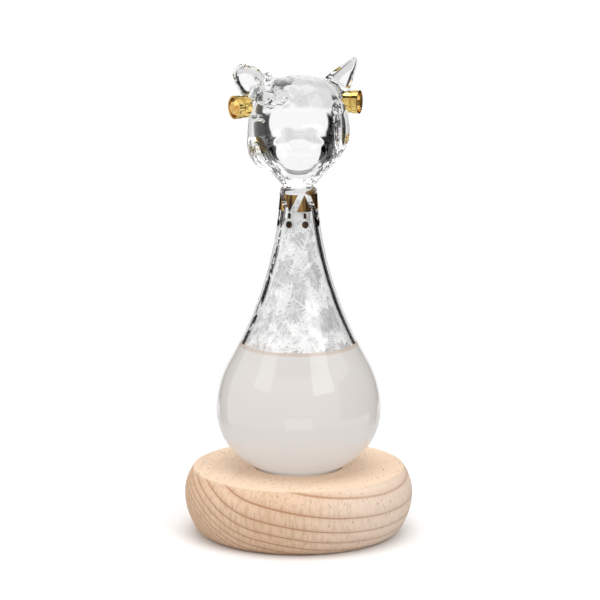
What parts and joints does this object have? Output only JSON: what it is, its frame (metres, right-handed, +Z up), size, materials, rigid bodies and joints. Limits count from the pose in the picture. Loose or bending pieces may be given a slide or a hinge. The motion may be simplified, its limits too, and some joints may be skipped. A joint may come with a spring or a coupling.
{
  "type": "storm glass",
  "caption": "Drop-shaped storm glass with a solid glass cat head and gold ear studs, standing loose in a round wooden base.",
  "frame": {"origin": "centre of the wooden base's underside, which rests on the table", "axes": "+Z up through the neck and the crown of the head; the cat's face looks along -Y; +X is to the right of someone facing the cat"},
  "size_m": [0.0836, 0.0836, 0.1752],
  "materials": {
    "wood": "sanded beech, matte",
    "felt": "thin wool felt",
    "clear_glass": "clear, flame polished",
    "silicone": "milky silicone",
    "clear_resin": "clear sealing resin",
    "camphor_solution": "milky liquid",
    "camphor_crystal": "white feathery crystal",
    "gold_print": "fired gold print",
    "gold_metal": "polished gold plate",
    "amber_stone": "faceted amber glass"
  },
  "bodies": {
    "base": {"wooden_base": "wood"},
    "seat": {"seat_pad": "felt"},
    "glass": {"glass_vessel": "clear_glass", "filler_plug": "silicone", "plug_seal": "clear_resin", "storm_liquid": "camphor_solution", "crystal_feathers": "camphor_crystal", "crystal_tufts": "camphor_crystal", "collar_triangles_upright": "gold_print", "collar_triangles_inverted": "gold_print", "collar_bars": "gold_print", "collar_dots": "gold_print", "cat_head": "clear_glass", "left_ear": "clear_glass", "right_ear": "clear_glass", "left_stud_cup": "gold_metal", "right_stud_cup": "gold_metal", "left_stud_stone": "amber_stone", "right_stud_stone": "amber_stone"}
  },
  "joints": [
    {"name": "glass_turn", "type": "hinge", "parent": "base", "child": "seat", "pos_m": [0, 0, 0.0221], "axis": [0, 0, 1], "continuous": true},
    {"name": "glass_lift", "type": "slide", "parent": "seat", "child": "glass", "axis": [0, 0, 1], "range_m": [0, 0.06]}
  ]
}
